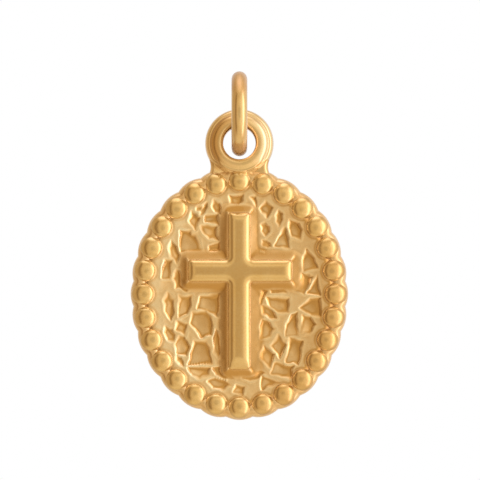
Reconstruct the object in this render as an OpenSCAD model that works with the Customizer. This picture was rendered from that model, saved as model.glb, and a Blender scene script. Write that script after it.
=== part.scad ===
// Cross charm: an oval medal with a raised cross, hung by its eyelet from a plain jump ring.
// The origin is the inside top of the jump ring, where the charm hangs. The front looks along -Y.

/* [Jump ring] */
// Outer diameter of the jump ring
ring_d = 5.04; // [4.8:0.02:6]
// Diameter of its round wire
wire_d = 0.93; // [0.7:0.01:1.1]
// Play between the bottom of the ring and the bottom of the eyelet's hole
ring_play = 0.19; // [0.1:0.01:0.3]

/* [Eyelet] */
// Diameter of the eyelet at its flat back
eye_d = 4.08; // [3.8:0.01:4.2]
// Diameter of its hole
hole_d = 1.93; // [1.8:0.01:2.1]
// Height of the eyelet's flared edge, where its half-round face begins
eye_edge_t = 1.05; // [0.9:0.01:1.15]
// Distance from the middle of the oval up to the middle of the eyelet
eye_up = 8.94; // [8.9:0.01:9.2]
// Width of the neck at its narrowest
neck_w = 3.42; // [3:0.01:3.6]
// Radius of the hollow curve on each side of the neck
neck_r = 1.02; // [1:0.01:1.1]
// Step from the flat back up to the back of the eyelet and neck
eye_back_t = 0.15; // [0.1:0.01:0.25]

/* [Bead rim] */
// Number of beads, one at the top and one at the bottom
bead_count = 28; // [24:2:28]
// Diameter of the ball that a bead's dome is part of
bead_d = 1.32; // [1.26:0.01:1.36]
// Width of the oval through the middles of the beads
oval_w = 11.31; // [11:0.01:11.8]
// Height of the oval through the middles of the beads
oval_h = 13.39; // [13.2:0.01:13.6]
// Diameter of the scallop under each bead at the flat back
scallop_d = 1.66; // [1.5:0.01:1.8]
// Height of the middle of a bead's dome above the flat back
bead_seat_t = 0.78; // [0.74:0.01:0.9]

/* [Cross] */
// Height of the cross
cross_h = 9.29; // [8.6:0.01:9.4]
// Span of its arms
cross_w = 6.18; // [5.6:0.01:6.3]
// Width of its bars where they leave the skirt
bar_w = 1.34; // [1.1:0.01:1.4]
// Width of the flat along the top of its bars
bar_flat_w = 0.7; // [0.5:0.01:0.9]
// Height of the middle of the cross above the middle of the oval
cross_up = 0.19; // [0:0.01:0.25]
// Height of the middle of its arms above the middle of the oval
arms_up = 1.38; // [1:0.01:1.6]
// Distance of the middle of its arms to the right of the middle of the oval
arms_across = 0.05; // [-0.1:0.01:0.1]
// Height of the face of the cross above the flat back
cross_t = 1.64; // [1.5:0.01:1.8]
// Height of the skirt round the cross above the flat back
skirt_t = 1.2; // [1.12:0.01:1.3]
// Reach of the skirt beyond the bars where it meets the field
skirt_reach = 0.52; // [0.4:0.01:0.6]

/* [Field] */
// Thickness of the medal at the middle of its dished field
field_t = 0.92; // [0.85:0.01:0.95]
// Radius of the dish across the field
dish_r = 75; // [60:1:120]
// Depth of the punch marks in the field
pit_depth = 0.2; // [0.1:0.01:0.25]

/* [Hidden] */

gold = [0.86, 0.65, 0.33];
$fn = 64;

ring_mid_r = (ring_d - wire_d) / 2;
ring_z = wire_d - ring_d / 2;
eye_z = wire_d - ring_d - ring_play + hole_d / 2;
oval_z = eye_z - eye_up;

// The base of the medal reaches this far past the middles of the beads, at its back and at its top
base_back_reach = 0.68;
base_top_reach = 0.45;
base_t = 1.06;
base_sides = 112;

// Each bead stands in a flared post that ends a little below the top of the base
post_t = base_t - 0.04;
post_top_d = bead_d - 0.02;

// Each bar of the cross leans in by its bevel, and starts a little inside the skirt
bevel = (bar_w - bar_flat_w) / 2;
bar_sink = 0.1;
bar_foot = bevel * bar_sink / (cross_t - skirt_t);
skirt_sink = 0.07;
skirt_lean = 0.3;

// The eyelet's half-round face lies between the hole and the flared edge
eye_lip = 0.22;
eye_round_r = 0.4;
eye_inner_r = hole_d / 2 - 0.05;
eye_flat_r = eye_d / 2 - eye_lip;
eye_round_mid = eye_flat_r - eye_round_r - 0.03;

// The jump ring hangs in the middle of the eyelet's thickness, and the flat back lies behind that
back_y = (eye_back_t + eye_edge_t + eye_round_r) / 2;

// The neck is a little lower than the eyelet's edge, and runs on into the medal
neck_t = 0.98;
neck_run = 2.1;
neck_foot_w = 4.8;
neck_side = neck_w / 2 + neck_r;
neck_drop = sqrt(pow(eye_d / 2 + neck_r, 2) - pow(neck_side, 2));
neck_top = neck_drop * (eye_d / 2) / (eye_d / 2 + neck_r);

// Turns are measured clockwise from the top of the oval, in degrees
oval_steps = 720;
oval_step = 360 / oval_steps;

function oval_at(turn) = [oval_w / 2 * sin(turn), oval_h / 2 * cos(turn)];

function oval_out(turn, reach) =
    let (normal = [oval_h * sin(turn), oval_w * cos(turn)])
    oval_at(turn) + normal / norm(normal) * reach;

function step_length(i) = norm(oval_at((i + 1) * oval_step) - oval_at(i * oval_step));

// Pairs of length run round the oval and the turn reached there
oval_run = [
    for (i = 0, run = 0; i <= oval_steps; run = run + step_length(i), i = i + 1) [run, i * oval_step]
];
oval_length = oval_run[oval_steps][0];

// The beads stand the same length apart round the oval
bead_places = [for (k = [0 : bead_count - 1]) oval_at(lookup(oval_length * k / bead_count, oval_run))];

// Height of the dished field above the flat back
function field_at(x, y) = field_t + dish_r - sqrt(pow(dish_r, 2) - pow(x, 2) - pow(y, 2));

// Outline of each punch, one unit long along X and one unit wide
function punch(name) =
    name == "wedge" ? [[-0.5, -0.5], [0.5, 0], [-0.5, 0.5]] :
    name == "kite" ? [[-0.5, 0], [-0.05, -0.5], [0.5, 0], [-0.05, 0.5]] :
    name == "bar" ? [[-0.5, -0.45], [0.5, -0.5], [0.5, 0.5], [-0.5, 0.45]] :
    name == "fan" ? [[-0.5, -0.27], [0.5, -0.5], [0.5, 0.5], [-0.5, 0.27]] :
    name == "bell" ? [[-0.5, -0.5], [0, -0.42], [0.5, 0], [0, 0.42], [-0.5, 0.5]] :
    name == "moon" ? [[-0.5, -0.5], [0.5, -0.5], [0.38, 0.15], [0, 0.5], [-0.38, 0.15]] :
    name == "quarter" ? [[-0.5, -0.5], [0.5, -0.5], [0.35, 0.1], [0, 0.45], [-0.5, 0.5]] :
    name == "hex" ? [[-0.5, -0.2], [-0.15, -0.5], [0.45, -0.3], [0.5, 0.15], [0.1, 0.5], [-0.35, 0.45]] :
    [[-0.5, 0], [-0.2, -0.45], [0.2, -0.45], [0.5, 0], [0.2, 0.45], [-0.2, 0.45]];

// Punch marks in the field, one row each, placed from the middle of the oval
// across, up, length, width, turn, punch
marks_upper_left = [
    [-2.35,  5.10, 0.40, 0.20,  45, "leaf"],
    [-2.10,  5.05, 0.80, 0.30,  60, "leaf"],
    [-1.30,  5.15, 0.90, 0.45, -65, "leaf"],
    [-2.65,  4.35, 1.10, 0.65, -80, "kite"],
    [-1.60,  4.40, 0.70, 0.60,   0, "fan"],
    [-1.85,  3.60, 0.85, 0.70, 180, "quarter"],
    [-2.95,  3.10, 1.05, 1.20,   0, "quarter"],
    [-1.45,  2.75, 0.70, 0.45,  12, "fan"],
    [-3.95,  2.45, 1.35, 0.40, -76, "leaf"],
    [-4.35,  1.45, 1.00, 0.45,  83, "bar"],
    [-3.60,  0.60, 1.25, 0.60, 135, "moon"]
];
marks_upper_right = [
    [-0.15,  5.45, 0.80, 0.85, -85, "bell"],
    [ 0.85,  5.45, 0.55, 0.35, -75, "wedge"],
    [ 1.55,  5.00, 0.95, 0.75, -84, "kite"],
    [ 2.30,  4.45, 1.00, 0.35, -83, "leaf"],
    [ 3.20,  3.75, 1.20, 0.55, -57, "leaf"],
    [ 2.60,  3.30, 1.15, 0.75,  80, "bell"],
    [ 1.50,  3.85, 0.75, 0.40,  88, "leaf"],
    [ 1.65,  2.90, 0.60, 0.20, -38, "leaf"],
    [ 4.05,  2.00, 1.20, 0.75, 104, "bell"],
    [ 3.70,  0.60, 1.00, 0.50,  65, "bar"],
    [ 4.50,  0.50, 1.10, 0.65,  79, "wedge"]
];
marks_lower_right = [
    [ 1.35, -0.15, 0.90, 0.30, -108, "wedge"],
    [ 2.35,  0.20, 0.85, 0.25,   0, "bar"],
    [ 2.30, -0.70, 1.30, 0.85, 180, "quarter"],
    [ 1.70, -1.10, 1.15, 0.40, -42, "leaf"],
    [ 1.65, -2.20, 1.10, 0.75, -90, "moon"],
    [ 4.15, -0.80, 1.20, 0.95, 180, "quarter"],
    [ 3.10, -1.85, 1.45, 0.75,  90, "quarter"],
    [ 4.05, -1.90, 1.20, 0.65, 107, "bell"],
    [ 2.30, -3.20, 1.40, 0.85, -88, "kite"],
    [ 3.25, -3.40, 1.30, 0.70,  78, "bar"],
    [ 1.50, -3.85, 1.30, 0.80, -77, "kite"],
    [ 2.45, -4.55, 1.05, 0.55, -14, "bar"],
    [ 1.85, -5.30, 1.05, 0.65,   0, "wedge"],
    [ 0.75, -4.90, 1.30, 0.45,  15, "leaf"]
];
marks_lower_left = [
    [ 0.00, -5.65, 0.60, 0.45, -20, "bar"],
    [-1.20, -5.40, 1.35, 0.55, -12, "leaf"],
    [-1.05, -4.70, 1.25, 0.50, -30, "leaf"],
    [-2.45, -4.75, 1.25, 0.60, 180, "moon"],
    [-4.25, -0.75, 1.50, 0.60, -85, "leaf"],
    [-3.25, -0.80, 1.25, 0.75, -90, "quarter"],
    [-1.90, -0.65, 1.05, 1.15,  -8, "fan"],
    [-2.25, -1.80, 1.50, 1.15, -65, "hex"],
    [-3.50, -1.95, 1.00, 0.65, -60, "kite"],
    [-4.20, -2.45, 1.00, 0.50, -63, "leaf"],
    [-3.35, -3.15, 1.15, 0.90, 100, "hex"],
    [-2.25, -3.50, 1.35, 1.35, -90, "fan"],
    [-1.40, -3.00, 1.50, 0.40, -85, "leaf"],
    [-3.50, -3.95, 0.75, 0.30, -55, "leaf"]
];
marks = concat(marks_upper_left, marks_upper_right, marks_lower_right, marks_lower_left);

// Tapered oval slab under the beads and the field
module base() {
    back = [oval_w / 2, oval_h / 2] + [base_back_reach, base_back_reach];
    top = [oval_w / 2, oval_h / 2] + [base_top_reach, base_top_reach];
    linear_extrude(height = base_t, scale = [top[0] / back[0], top[1] / back[1]], slices = 1)
        polygon([for (i = [0 : base_sides - 1]) oval_out(i * 360 / base_sides, base_back_reach)]);
}

// Shallow dish that leaves the field lowest in the middle
module dish() {
    translate([0, 0, field_t + dish_r]) sphere(r = dish_r, $fn = 400);
}

// Marks of the punches, each struck to the same depth below the field
module punch_marks() {
    for (mark = marks) {
        across = mark[0];
        up = mark[1];
        size = [mark[2], mark[3]];
        translate([across, up, field_at(across, up) - pit_depth])
            rotate(mark[4])
                linear_extrude(height = pit_depth + 0.5)
                    polygon([for (p = punch(mark[5])) [p[0] * size[0], p[1] * size[1]]]);
    }
}

// Beads on flared posts, which make the scallops of the rim
module bead_rim() {
    for (place = bead_places)
        translate([place[0], place[1], 0]) {
            cylinder(h = post_t, d1 = scallop_d, d2 = post_top_d);
            translate([0, 0, bead_seat_t]) sphere(d = bead_d);
        }
}

// Bar whose four sides lean in, with its foot at low and its top at high
module leaning_bar(w, l, lean, low, high) {
    intersection() {
        rotate([90, 0, 0])
            linear_extrude(height = l + 1, center = true)
                polygon([[-w / 2, low], [w / 2, low], [w / 2 - lean, high], [-w / 2 + lean, high]]);
        rotate([90, 0, 90])
            linear_extrude(height = w + 1, center = true)
                polygon([[-l / 2, low], [l / 2, low], [l / 2 - lean, high], [-l / 2 + lean, high]]);
    }
}

// Two leaning bars, each grown all round by a reach
module crossed_bars(reach, lean, low, high) {
    translate([0, cross_up, 0])
        leaning_bar(bar_w + 2 * reach, cross_h + 2 * reach, lean, low, high);
    translate([arms_across, arms_up, 0])
        leaning_bar(cross_w + 2 * reach, bar_w + 2 * reach, lean, low, high);
}

// Low skirt round the cross, and the bevelled cross on it
module raised_cross() {
    crossed_bars(skirt_reach, skirt_lean, field_t - skirt_sink, skirt_t);
    crossed_bars(bar_foot, bevel + bar_foot, skirt_t - bar_sink, cross_t);
}

// Half-round ring on a flared edge, before its hole is cut
module eyelet_ring() {
    edge = [[eye_inner_r, eye_back_t], [eye_d / 2, eye_back_t], [eye_flat_r, eye_edge_t], [eye_inner_r, eye_edge_t]];
    translate([0, eye_up, 0])
        rotate_extrude()
            union() {
                polygon(edge);
                translate([eye_round_mid, eye_edge_t]) circle(r = eye_round_r);
            }
}

// Waist between the eyelet and the medal, hollowed on each side
module neck() {
    translate([0, eye_up - neck_top, eye_back_t])
        linear_extrude(height = neck_t - eye_back_t)
            difference() {
                translate([-neck_foot_w / 2, -neck_run]) square([neck_foot_w, neck_run]);
                for (side = [-1, 1])
                    translate([side * neck_side, neck_top - neck_drop]) circle(r = neck_r);
            }
}

// The medal is one casting, lying on its back here
module flat_medal() {
    difference() {
        union() {
            difference() {
                base();
                dish();
                punch_marks();
            }
            bead_rim();
            raised_cross();
            neck();
            eyelet_ring();
        }
        translate([0, eye_up, -1]) cylinder(h = 4, d = hole_d);
    }
}

module medal() {
    color(gold)
        translate([0, back_y, oval_z])
            rotate([90, 0, 0])
                flat_medal();
}

// Closed round wire, edge-on to the front
module jump_ring() {
    color(gold)
        translate([0, 0, ring_z])
            rotate([0, 90, 0])
                rotate_extrude($fn = 96)
                    translate([ring_mid_r, 0]) circle(d = wire_d);
}

medal();
jump_ring();
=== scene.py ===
# Cross charm: an oval gold medal with a raised cross and a rim of beads, hung by its eyelet from a jump ring.
# The front looks along -Y and the origin is the inside top of the jump ring, where the charm hangs.
# Sizes are worked out in millimetres, and every mesh is turned into metres as it is made.

import math
from types import SimpleNamespace

import bmesh
import bpy
import numpy as np
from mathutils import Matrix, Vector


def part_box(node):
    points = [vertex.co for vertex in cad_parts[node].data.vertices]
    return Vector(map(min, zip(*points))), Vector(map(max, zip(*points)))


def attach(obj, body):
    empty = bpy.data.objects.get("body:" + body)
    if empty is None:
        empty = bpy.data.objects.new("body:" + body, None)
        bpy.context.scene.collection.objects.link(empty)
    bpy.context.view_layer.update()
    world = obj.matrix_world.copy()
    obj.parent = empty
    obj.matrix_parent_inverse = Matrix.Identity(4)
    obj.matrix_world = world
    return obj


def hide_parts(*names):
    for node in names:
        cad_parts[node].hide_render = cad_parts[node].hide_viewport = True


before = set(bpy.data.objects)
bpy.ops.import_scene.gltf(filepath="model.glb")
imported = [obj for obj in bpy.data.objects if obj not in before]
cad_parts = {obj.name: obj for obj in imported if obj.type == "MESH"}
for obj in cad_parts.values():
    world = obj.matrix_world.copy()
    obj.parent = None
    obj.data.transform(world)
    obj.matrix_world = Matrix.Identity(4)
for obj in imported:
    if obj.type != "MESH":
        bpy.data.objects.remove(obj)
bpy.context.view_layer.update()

bl_info = {
    "name": "Cross Charm",
    "version": (1, 0, 0),
    "blender": (4, 5, 0),
    "location": "3D View > Sidebar > Charm",
    "description": "Oval medal with a raised cross, a rim of beads, an eyelet and a jump ring",
    "category": "Add Mesh",
}

MM = 0.001

# Colour of gold that is seen in gold, which keeps the steep walls from turning orange
TWICE_REFLECTED = (0.88, 0.75, 0.58)

# Outline of each punch, one unit long and one unit wide
PUNCHES = {
    "wedge": [(-0.5, -0.5), (0.5, 0), (-0.5, 0.5)],
    "kite": [(-0.5, 0), (-0.05, -0.5), (0.5, 0), (-0.05, 0.5)],
    "bar": [(-0.5, -0.45), (0.5, -0.5), (0.5, 0.5), (-0.5, 0.45)],
    "fan": [(-0.5, -0.27), (0.5, -0.5), (0.5, 0.5), (-0.5, 0.27)],
    "bell": [(-0.5, -0.5), (0, -0.42), (0.5, 0), (0, 0.42), (-0.5, 0.5)],
    "moon": [(-0.5, -0.5), (0.5, -0.5), (0.38, 0.15), (0, 0.5), (-0.38, 0.15)],
    "quarter": [(-0.5, -0.5), (0.5, -0.5), (0.35, 0.1), (0, 0.45), (-0.5, 0.5)],
    "hex": [(-0.5, -0.2), (-0.15, -0.5), (0.45, -0.3), (0.5, 0.15), (0.1, 0.5), (-0.35, 0.45)],
    "leaf": [(-0.5, 0), (-0.2, -0.45), (0.2, -0.45), (0.5, 0), (0.2, 0.45), (-0.2, 0.45)],
}

# Punch marks in the field, one row each, placed from the middle of the oval
# across, up, length, width, turn, punch
MARKS = [
    # upper left
    (-2.35, 5.10, 0.40, 0.20, 45, "leaf"),
    (-2.10, 5.05, 0.80, 0.35, 60, "leaf"),
    (-1.30, 5.15, 0.90, 0.50, -65, "leaf"),
    (-2.67, 4.38, 1.12, 0.68, -80, "kite"),
    (-1.62, 4.44, 0.80, 0.62, 0, "fan"),
    (-1.78, 3.66, 0.95, 0.80, 180, "quarter"),
    (-2.88, 3.13, 1.18, 1.30, 0, "quarter"),
    (-1.45, 2.75, 0.70, 0.50, 12, "fan"),
    (-3.88, 2.50, 1.42, 0.50, -76, "leaf"),
    (-4.27, 1.48, 1.05, 0.50, 83, "bar"),
    (-3.48, 0.66, 1.40, 0.75, 135, "moon"),
    # upper right
    (-0.15, 5.45, 0.80, 0.85, -85, "bell"),
    (0.90, 5.50, 0.55, 0.42, -75, "wedge"),
    (1.60, 5.06, 0.98, 0.78, -84, "kite"),
    (2.35, 4.52, 1.00, 0.42, -83, "leaf"),
    (3.32, 3.83, 1.20, 0.78, -60, "leaf"),
    (2.62, 3.36, 1.15, 0.80, 80, "bell"),
    (1.54, 3.87, 0.80, 0.50, 88, "leaf"),
    (1.64, 2.98, 0.64, 0.34, -32, "leaf"),
    (4.10, 2.06, 1.22, 0.82, 104, "bell"),
    (3.78, 0.66, 1.12, 0.68, 65, "bar"),
    (4.50, 0.54, 1.15, 0.72, 79, "wedge"),
    # lower right
    (1.38, -0.12, 0.90, 0.34, -108, "wedge"),
    (2.35, 0.20, 0.85, 0.25, 0, "bar"),
    (2.28, -0.66, 1.30, 0.90, 180, "quarter"),
    (1.75, -1.07, 1.18, 0.52, -42, "leaf"),
    (1.70, -2.08, 1.12, 0.82, -90, "moon"),
    (4.22, -0.78, 1.22, 1.12, 180, "bell"),
    (3.12, -1.78, 1.44, 0.70, 90, "quarter"),
    (4.14, -1.82, 0.80, 1.06, -5, "bell"),
    (2.34, -3.10, 1.40, 0.94, -86, "kite"),
    (3.26, -3.38, 1.42, 0.84, 79, "bar"),
    (1.66, -3.72, 1.32, 0.86, -76, "kite"),
    (2.55, -4.50, 1.22, 0.70, -12, "bar"),
    (1.84, -5.26, 1.05, 0.75, 0, "wedge"),
    (0.84, -4.80, 1.28, 0.54, 13, "leaf"),
    # lower left
    (0.00, -5.65, 0.60, 0.45, -20, "bar"),
    (-1.20, -5.30, 1.42, 0.64, -11, "leaf"),
    (-0.97, -4.68, 1.32, 0.58, -29, "leaf"),
    (-2.34, -4.69, 1.34, 0.68, 180, "moon"),
    (-4.16, -0.71, 1.58, 0.60, -85, "leaf"),
    (-3.20, -0.74, 1.24, 0.74, -90, "quarter"),
    (-1.80, -0.59, 1.20, 1.28, -8, "fan"),
    (-2.19, -1.74, 1.62, 1.30, -65, "hex"),
    (-3.42, -2.00, 1.00, 0.72, -60, "kite"),
    (-4.12, -2.36, 1.05, 0.58, -63, "leaf"),
    (-3.38, -3.05, 1.22, 0.88, 100, "hex"),
    (-2.27, -3.47, 1.36, 1.42, -90, "fan"),
    (-1.34, -2.92, 1.70, 0.46, -85, "leaf"),
    (-3.50, -3.95, 0.78, 0.36, -55, "leaf"),
]

# Rows of small casting burrs left between the marks
# from across, from up, to across, to up, how many
BURRS = [
    (-3.10, -4.20, -1.90, -4.12, 7),
    (-1.45, -4.98, -0.70, -5.12, 5),
    (1.20, 2.55, 1.50, 2.45, 3),
]

# Cross-section of the flange under the beads, from the flat back round to the field
# reach beyond the beads' middles, depth of the scallops, height, drop between the beads
FLANGE = [
    (0.53, 0.045, 0.00, 0.00),
    (0.68, 0.062, 0.00, 0.00),
    (0.722, 0.066, 0.02, 0.00),
    (0.748, 0.068, 0.06, 0.00),
    (0.757, 0.068, 0.13, 0.00),
    (0.754, 0.068, 0.36, 0.00),
    (0.738, 0.068, 0.58, 0.01),
    (0.708, 0.067, 0.76, 0.02),
    (0.664, 0.065, 0.89, 0.03),
    (0.606, 0.060, 0.98, 0.04),
    (0.540, 0.050, 1.04, 0.03),
    (0.450, 0.035, 1.08, 0.00),
    (0.320, 0.010, 1.10, -0.03),
    (0.150, 0.000, 1.10, -0.04),
    (0.020, 0.000, 1.06, -0.04),
    (-0.10, 0.000, 0.97, -0.01),
    (-0.16, 0.000, 0.60, 0.00),
]

# Cross-section of the eyelet, from its hole round to its back: distance from the middle, height
EYE_EDGE = [
    (1.735, 1.050),
    (1.760, 1.050),
    (1.810, 1.045),
    (1.870, 1.015),
    (1.930, 0.945),
    (1.980, 0.840),
    (2.015, 0.690),
    (2.034, 0.500),
    (2.039, 0.300),
    (2.033, 0.215),
    (2.010, 0.170),
    (1.970, 0.150),
    (1.800, 0.150),
]

# Hairline crack at the foot of the eyelet: its ends, across and up from the eyelet's middle, and its width
EYE_CRACK = ((1.04, -1.38), (1.60, -1.02), 0.055)

# Cross-section of the raised cross, from its foot up: how far in from the outline, height
CROSS_EDGE = [
    (0.00, 0.80),
    (0.00, 1.15),
    (0.00, 1.330),
    (0.015, 1.362),
    (0.045, 1.407),
    (0.090, 1.457),
    (0.140, 1.500),
    (0.190, 1.535),
    (0.250, 1.569),
    (0.310, 1.593),
    (0.370, 1.610),
    (0.430, 1.622),
    (0.500, 1.630),
    (0.580, 1.636),
]

# Punch marks, in millimetres: bend of their outlines, half the square that holds a mark, where a wall starts,
# its width where it is steep, how much wider it is where it is soft, lean of the floor, and the height of
# the lip round a mark and of a burr
MARK_BEND = 0.06
MARK_REACH = 1.1
WALL_START = 0.09
STEEP_WALL = 0.10
SOFTER_WALL = 0.24
FLOOR_LEAN = 0.09
LIP_HEIGHT = 0.02
BURR_HEIGHT = 0.045

# Skirt of the cross, as shares of its height: the ledge on its right, and its rise against the cross on its
# left
LEDGE = 0.52
LEFT_RISE = 0.30

# Grid of the field, in millimetres: its squares, its edge inside the beads' middles, its foot above the back
FIELD_STEP = 0.037
FIELD_INSET = 0.04
FIELD_FOOT = 0.4

# Corners of the cross, in millimetres, and the steps round each
OUTER_CORNER = 0.22
INNER_CORNER = 0.16
CORNER_STEPS = 6

# Points along each scallop of the flange
SCALLOP_POINTS = 28

# How much wider and higher the beads' own oval is than the line through their middles, in millimetres
BEADS_WIDER = 0.10
BEADS_HIGHER = 0.04

# Rounded front of the eyelet, in millimetres: crest from the middle and its height, then the width and height
# of the curve towards the hole and towards the edge
EYE_CREST = (1.22, 1.42)
EYE_INNER_CURVE = (0.31, 0.30)
EYE_OUTER_CURVE = (0.49, 0.36)

# Front of the neck, in millimetres: its height, and the width and height of its rounded corners
NECK_FRONT = (0.97, 0.30, 0.34)

# Places below the hollows where the neck runs on under the field, up from the middle of the oval
NECK_FOOT = (6.6, 6.3)

# Wear of a finish: fine grain, soft waves and hairline scratches
WEAR = ("Grain Scale", "Grain", "Wave Scale", "Wave", "Scratch")

# Finishes of the gold
# light tone, deep tone, lowest roughness, highest, the five values of wear, bump in millimetres, clear coat,
# extra roughness where shade is painted
GOLDS = {
    "Polished Gold": ("polished_light", "polished_deep", 0.13, 0.2, 9.0, 0.07, 1.3, 1.0, 0.1, 0.01, 0.25, 0),
    "Bead Gold": ("polished_light", "polished_deep", 0.12, 0.2, 9.0, 0.06, 1.9, 1.0, 0.05, 0.03, 0.2, 0),
    "Satin Gold": ("satin_light", "satin_deep", 0.25, 0.33, 8.0, 0.2, 1.8, 1.0, 0.05, 0.012, 0.15, 0),
    "Eyelet Gold": ("satin_deep", "polished_light", 0.16, 0.23, 8.0, 0.08, 1.4, 1.0, 0.05, 0.012, 0.2, 0),
    "Ring Gold": ("polished_light", "polished_deep", 0.11, 0.18, 9.0, 0.02, 0.8, 0.8, 0.05, 0.01, 0.7, 0.6),
}

# Studio: radius of the floor in metres and its sides, width of the camera's sensor in millimetres, and the
# place across and in depth at which the camera aims
FLOOR_RADIUS = 0.7
FLOOR_SIDES = 64
SENSOR = 36
CAMERA_AIM = (0.000036, 0.0005)


# Settings

def length(name, default, description):
    """A length that the user can set, in metres."""
    return bpy.props.FloatProperty(name=name, description=description, default=default, unit="LENGTH")


def colour(name, default, description):
    """A colour that the user can set."""
    return bpy.props.FloatVectorProperty(name=name, description=description, default=default, subtype="COLOR",
                                         min=0, max=1)


class CharmSizes(bpy.types.PropertyGroup):
    """Sizes of the charm"""

    oval_width: length("Oval Width", 0.01131, "Width through the middles of the beads")
    oval_height: length("Oval Height", 0.01339, "Height through the middles of the beads")
    bead_count: bpy.props.IntProperty(
        name="Beads", description="Number of beads round the oval", default=28, min=8)
    bead_width: length("Bead Width", 0.00137, "Diameter of a bead where it is widest")
    bead_seat: length("Bead Seat", 0.00095, "Height of a bead's middle above the flat back")
    field_height: length("Field Height", 0.00092, "Thickness at the middle of the dished field")
    dish_radius: length("Dish Radius", 0.075, "Radius of the dish across the field")
    punch_depth: length("Punch Depth", 0.0002, "Depth of the punch marks")
    cross_height: length("Cross Height", 0.00929, "Height of the raised cross")
    cross_width: length("Cross Width", 0.00618, "Span of the arms of the cross")
    bar_width: length("Bar Width", 0.00134, "Width of the bars of the cross at their foot")
    cross_up: length("Cross Up", 0.00019, "Middle of the cross above the middle of the oval")
    arms_up: length("Arms Up", 0.00138, "Middle of the arms above the middle of the oval")
    arms_across: length("Arms Across", 0.00005, "Middle of the arms, right of the middle of the oval")
    skirt_height: length("Skirt Height", 0.0012, "Height of the skirt round the cross")
    skirt_reach: length("Skirt Reach", 0.00052, "Reach of the skirt beyond the bars")
    eye_width: length("Eyelet Width", 0.00408, "Diameter of the eyelet")
    hole_width: length("Hole Width", 0.00193, "Diameter of the eyelet's hole")
    eye_up: length("Eyelet Up", 0.00894, "Middle of the eyelet above the middle of the oval")
    neck_width: length("Neck Width", 0.00342, "Width of the neck at its narrowest")
    neck_hollow: length("Neck Hollow", 0.00102, "Radius of the hollow on each side of the neck")
    wire_width: length("Wire Width", 0.00093, "Diameter of the jump ring's wire")


class CharmColours(bpy.types.PropertyGroup):
    """Colours of the charm and of the studio"""

    polished_light: colour("Polished Light", (0.89, 0.562, 0.187), "Lighter tone of the polished gold")
    polished_deep: colour("Polished Deep", (0.85, 0.502, 0.142), "Deeper tone of the polished gold")
    satin_light: colour("Satin Light", (1.0, 0.66, 0.265), "Lighter tone of the satin gold")
    satin_deep: colour("Satin Deep", (1.0, 0.61, 0.225), "Deeper tone of the satin gold")
    # Lighter tone of the painted highlights, and of ridges rubbed bright
    wear_and_highlight_gold: colour("Wear And Highlight Gold", (1.0, 0.78, 0.385), "Tone where the gold is rubbed bright")
    # Tone of the painted shade in hollows, in creases and on the sides turned from the light
    painted_shade_gold: colour("Painted Shade Gold", (0.68, 0.33, 0.068), "Tone where polish has built up in hollows")
    floor: colour("Floor", (0.92, 0.91, 0.84), "Colour of the studio floor")


class CharmStudio(bpy.types.PropertyGroup):
    """Camera and light of the studio"""

    lens: bpy.props.FloatProperty(name="Lens", description="Focal length in millimetres", default=150.0)
    frame_width: length("Frame Width", 0.0286, "Width that the camera takes in at the medal")
    middle_height: length("Middle Height", -0.009076, "Height of the middle of the picture")
    floor_height: length("Floor Height", -0.15, "Height of the studio floor")
    light_strength: bpy.props.FloatProperty(
        name="Light Strength", description="Strength of all the light on the charm", default=1.0, min=0)


# Places on the medal

def in_mm(context):
    """The sizes of the charm in millimetres, and the places that follow from them."""
    group = context.scene.charm_sizes
    size = SimpleNamespace(**{name: getattr(group, name) / MM for name in group.__annotations__})
    size.bead_count = group.bead_count
    size.back_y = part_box("medal")[1].y / MM
    low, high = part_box("jump_ring")
    size.ring_width = (high.y - low.y) / MM
    size.ring_z = (high.z + low.z) / 2 / MM
    size.oval_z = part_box("medal")[1].z / MM - size.eye_width / 2 - size.eye_up
    return size


def in_place(size, across, up, height):
    """Points given across, up and above the flat back, as rows in the row frame in metres."""
    across, up, height = np.broadcast_arrays(across, up, height)
    rows = np.stack([across, size.back_y - height, size.oval_z + up], axis=-1)
    return rows.reshape(-1, 3) * MM


def smooth(value):
    """Smooth step from 0 to 1."""
    value = np.clip(value, 0, 1)
    return value * value * (3 - 2 * value)


def climb(value, start, width):
    """Smooth step from 0 at a start to 1 a width further on."""
    return smooth((value - start) / width)


def hump(value, middle, width):
    """Soft hump, 1 at its middle and nearly 0 from two widths away."""
    return np.exp(-(((value - middle) / width) ** 2))


def oval_run(size, count):
    """Points and outward directions the same length apart round the oval, from its top."""
    turn = np.linspace(0, 2 * math.pi, 7201)
    wide, high = size.oval_width / 2, size.oval_height / 2
    line = np.c_[wide * np.sin(turn), high * np.cos(turn)]
    run = np.r_[0, np.cumsum(np.hypot(*np.diff(line, axis=0).T))]
    turn = np.interp(run[-1] * np.arange(count) / count, run, turn)
    line = np.c_[wide * np.sin(turn), high * np.cos(turn)]
    out = np.c_[high * np.sin(turn), wide * np.cos(turn)]
    return line, out / np.hypot(*out.T)[:, None]


def ripple(across, up, cell, seed):
    """Soft random waves, from -1 to 1, as wide as a cell."""
    cells = 64
    chance = np.random.default_rng(seed).uniform(-1, 1, (cells, cells))
    column, row = across / cell + cells / 2, up / cell + cells / 2
    left, low = np.floor(column).astype(int), np.floor(row).astype(int)
    s, t = smooth(column - left), smooth(row - low)

    def at(i, j):
        return chance[(low + j) % cells, (left + i) % cells]

    return (at(0, 0) * (1 - s) + at(1, 0) * s) * (1 - t) + (at(0, 1) * (1 - s) + at(1, 1) * s) * t


def soften(values, passes):
    """Values on a grid, smoothed a little by each pass."""
    values = values.copy()
    for _ in range(passes):
        values[1:-1, 1:-1] = (4 * values[1:-1, 1:-1] + values[:-2, 1:-1] + values[2:, 1:-1]
                              + values[1:-1, :-2] + values[1:-1, 2:]) / 8
    return values


def box_distance(across, up, middle, wide, high):
    """Distance from points to a rectangle, less than nought inside it."""
    x, y = abs(across) - wide / 2, abs(up - middle) - high / 2
    return np.hypot(np.maximum(x, 0), np.maximum(y, 0)) + np.minimum(np.maximum(x, y), 0)


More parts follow.
